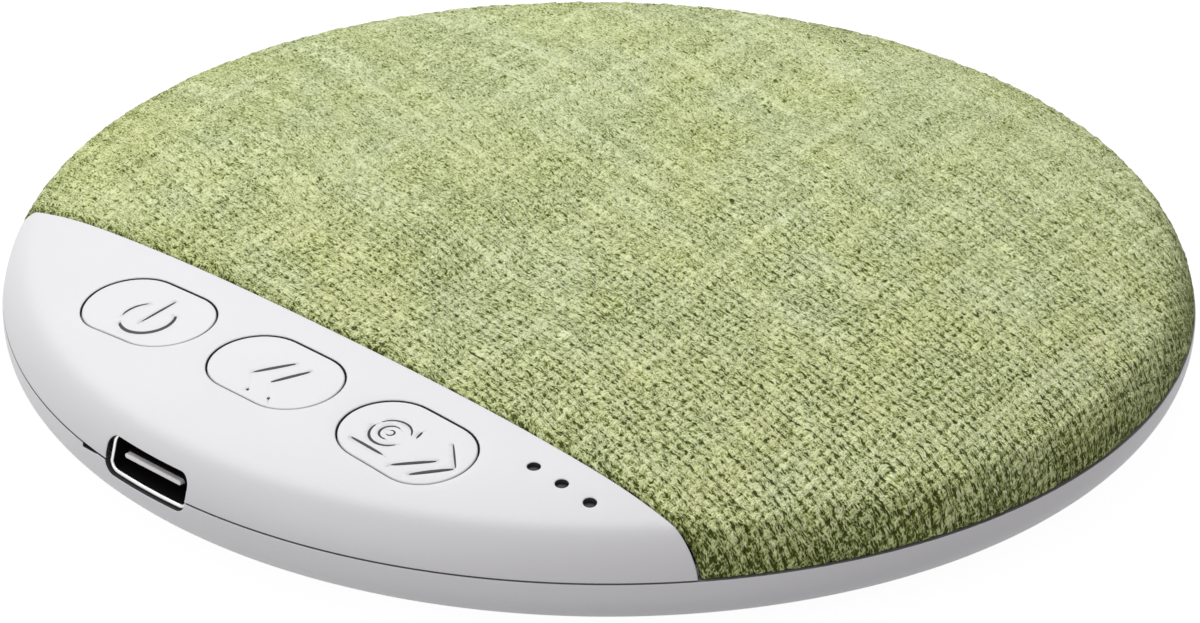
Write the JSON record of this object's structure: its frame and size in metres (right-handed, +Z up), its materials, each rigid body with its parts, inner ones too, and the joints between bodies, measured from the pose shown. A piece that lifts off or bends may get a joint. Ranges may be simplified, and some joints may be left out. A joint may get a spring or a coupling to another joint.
{
  "type": "pillow speaker",
  "caption": "Flat round pillow speaker with a heathered green fabric top, a white control segment with flush press buttons, a USB-C type charging socket and a soft base pad.",
  "frame": {"origin": "middle of the base pad's underside, on the surface the speaker rests on", "axes": "+Z up through the fabric top, -Y towards the control panel and the socket, +X to the right as the panel is faced"},
  "size_m": [0.094, 0.0939, 0.0114],
  "materials": {
    "shell": "satin white moulding",
    "button": "satin white moulding with thin grey line icons",
    "cover": "heathered woven cloth, yellow-green",
    "grille": "dark moulding",
    "pad": "soft matt silicone",
    "switch_black": "matt",
    "switch_stem": "matt",
    "guide": "smoked clear, dark when unlit",
    "led": "pale resin",
    "board": "green solder mask",
    "socket": "drawn bright steel",
    "tongue": "black moulding",
    "contact": "gold-plated",
    "chip": "moulded epoxy",
    "can": "plated can",
    "ceramic": "fired body with tinned ends",
    "connector": "ivory moulding",
    "cell": "laminated foil pouch",
    "foam": "soft foam",
    "red_lead": "soft insulation",
    "black_lead": "soft insulation",
    "frame": "black stove enamel",
    "iron": "zinc-plated",
    "magnet": "nickel-plated",
    "winding": "enamelled copper wire",
    "paper": "pressed pulp, taken as light plastic",
    "surround": "matt",
    "tag": "phenolic board",
    "screw": "nickel-plated"
  },
  "bodies": {
    "case": {"bottom_shell": "shell", "upper_shell": "shell", "fabric_cover": "cover", "grille_panel": "grille", "base_pad": "pad", "power_switch": "switch_black", "previous_switch": "switch_black", "next_switch": "switch_black", "light_guide": "guide", "status_leds": "led", "main_board": "board", "battery_board": "board", "usb_shell": "socket", "usb_tongue": "tongue", "usb_contacts": "contact", "bluetooth_chip": "chip", "amplifier_chip": "chip", "power_inductor": "chip", "crystal_can": "can", "capacitors": "ceramic", "battery_connector": "connector", "battery_cell": "cell", "battery_pad": "foam", "driver_gasket": "foam", "battery_leads": "red_lead", "speaker_leads": "black_lead", "driver_frame": "frame", "yoke": "iron", "pole_plate": "iron", "magnet": "magnet", "surround": "surround", "driver_terminals": "tag", "case_screws": "screw", "board_screws": "screw"},
    "power_key": {"power_button": "button", "power_plunger": "switch_stem"},
    "previous_key": {"previous_button": "button", "previous_plunger": "switch_stem"},
    "next_key": {"next_button": "button", "next_plunger": "switch_stem"},
    "cone": {"voice_coil": "winding", "coil_former": "paper", "diaphragm": "paper", "dust_cap": "paper"}
  },
  "joints": [
    {"name": "power_press", "type": "slide", "parent": "case", "child": "power_key", "axis": [0, 0, -1], "range_m": [0, 0.0003], "stiffness_N_per_m": 5000},
    {"name": "previous_press", "type": "slide", "parent": "case", "child": "previous_key", "axis": [0, 0, -1], "range_m": [0, 0.0003], "stiffness_N_per_m": 5000},
    {"name": "next_press", "type": "slide", "parent": "case", "child": "next_key", "axis": [0, 0, -1], "range_m": [0, 0.0003], "stiffness_N_per_m": 5000},
    {"name": "cone_travel", "type": "slide", "parent": "case", "child": "cone", "axis": [0, 0, 1], "range_m": [-0.0005, 0.0005], "stiffness_N_per_m": 1000, "deforming": ["surround"]}
  ]
}
